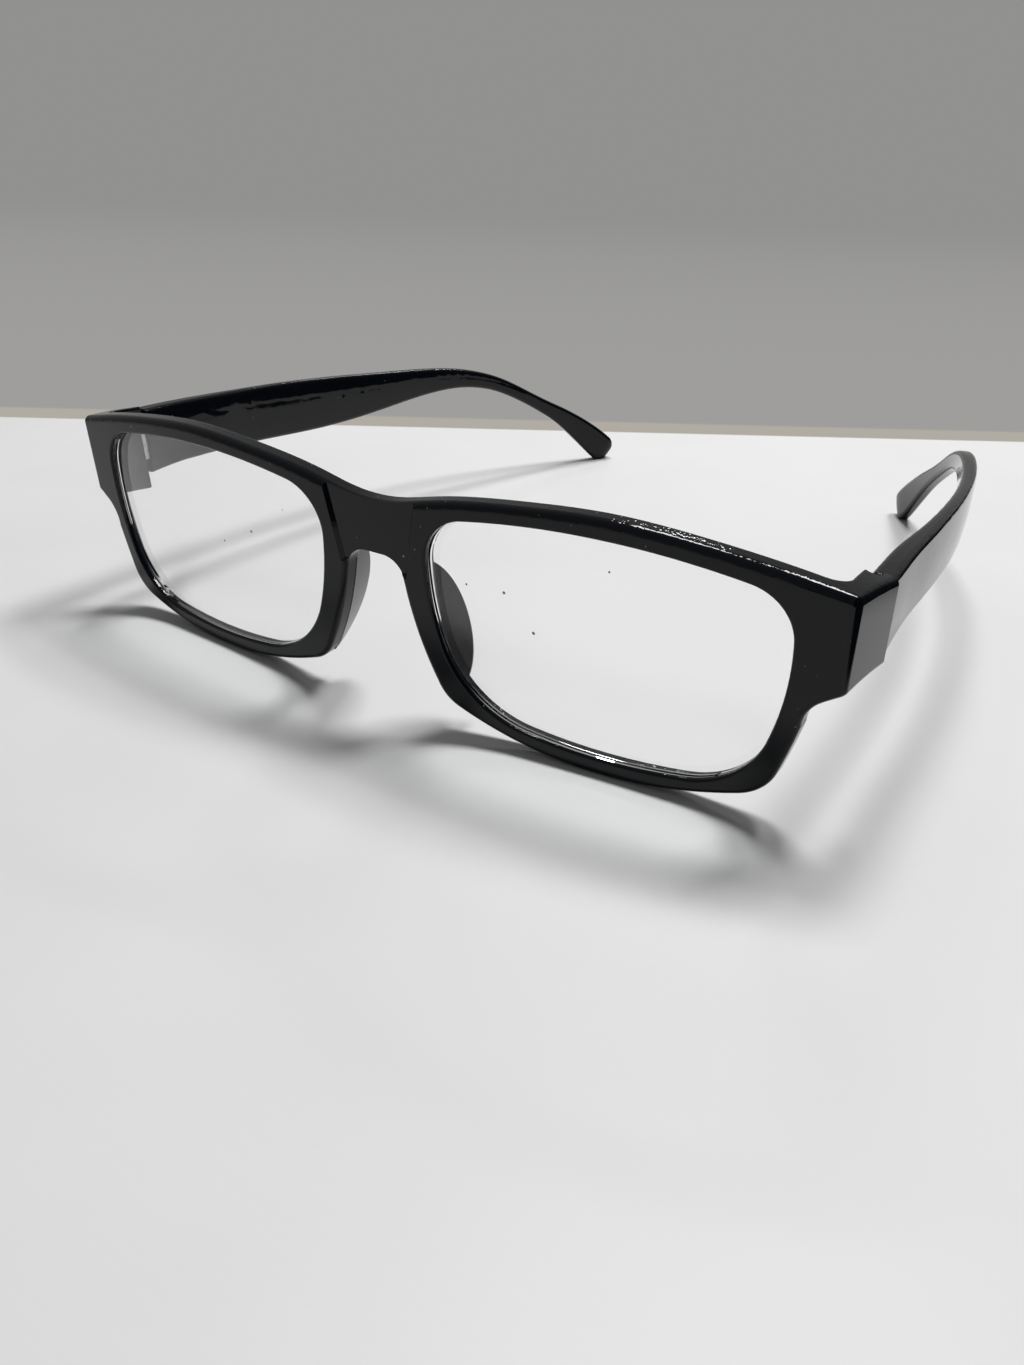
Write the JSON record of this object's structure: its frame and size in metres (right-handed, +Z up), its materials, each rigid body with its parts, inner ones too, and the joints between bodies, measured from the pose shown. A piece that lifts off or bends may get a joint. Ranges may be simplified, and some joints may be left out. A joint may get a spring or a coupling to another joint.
{
  "type": "eyeglasses",
  "caption": "Rectangular full-rim eyeglasses with gloss black plastic frame, clear lenses, moulded nose pads and folding temples on barrel hinges.",
  "frame": {"origin": "on the surface the eyeglasses stand on, below the middle of their bounding box", "axes": "+Z up, -Y the way the lenses look, +Y back along the open temples, +X towards the wearer's left temple"},
  "size_m": [0.1394, 0.1561, 0.0388],
  "materials": {
    "frame_plastic": "polished injection-moulded black",
    "lens": "clear, polished",
    "pad_plastic": "smoky, slightly translucent black",
    "hinge_metal": "stamped and tumbled"
  },
  "bodies": {
    "front": {"front_frame": "frame_plastic", "left_lens": "lens", "left_nose_pad": "pad_plastic", "left_front_hinge_leaf": "hinge_metal", "left_hinge_screw": "hinge_metal", "left_hinge_washer": "hinge_metal", "right_lens": "lens", "right_nose_pad": "pad_plastic", "right_front_hinge_leaf": "hinge_metal", "right_hinge_screw": "hinge_metal", "right_hinge_washer": "hinge_metal"},
    "left_temple_arm": {"left_temple": "frame_plastic", "left_temple_hinge_leaf": "hinge_metal"},
    "right_temple_arm": {"right_temple": "frame_plastic", "right_temple_hinge_leaf": "hinge_metal"}
  },
  "joints": [
    {"name": "left_temple_fold", "type": "hinge", "parent": "front", "child": "left_temple_arm", "pos_m": [0.0666, -0.06119, 0.02858], "axis": [0, -0.085, 0.9964], "range_deg": [0, 75]},
    {"name": "right_temple_fold", "type": "hinge", "parent": "front", "child": "right_temple_arm", "pos_m": [-0.0666, -0.06119, 0.02858], "axis": [0, 0.085, -0.9964], "range_deg": [0, 54]}
  ]
}
